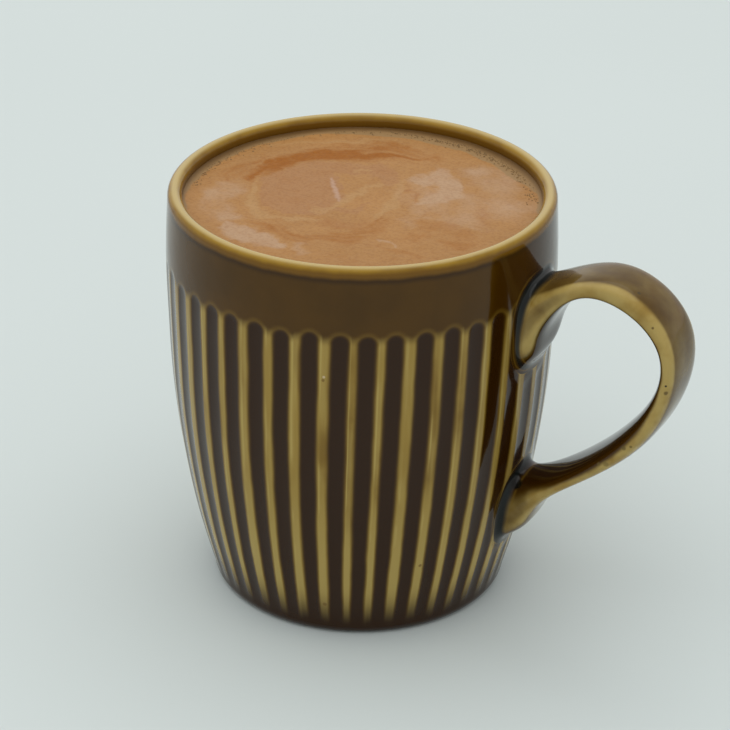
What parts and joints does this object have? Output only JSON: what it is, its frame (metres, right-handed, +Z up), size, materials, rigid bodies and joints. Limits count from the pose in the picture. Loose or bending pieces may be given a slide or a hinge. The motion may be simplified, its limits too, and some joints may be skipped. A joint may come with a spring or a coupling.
{
  "type": "cup of caffe mocha",
  "caption": "Fluted, brown-glazed stoneware mug with a strap handle, filled almost to the brim with milky caffe mocha.",
  "frame": {"origin": "centre of the flat underside of the foot, on the cup's axis, where the mug stands on the table", "axes": "+Z up along the cup's axis, +X from the axis towards the handle, +Y across the handle's strap"},
  "size_m": [0.12, 0.086, 0.0944],
  "materials": {
    "brown_glaze": "gloss",
    "mocha": "satin"
  },
  "bodies": {
    "root": {"mug": "brown_glaze", "drink": "mocha"}
  },
  "joints": []
}
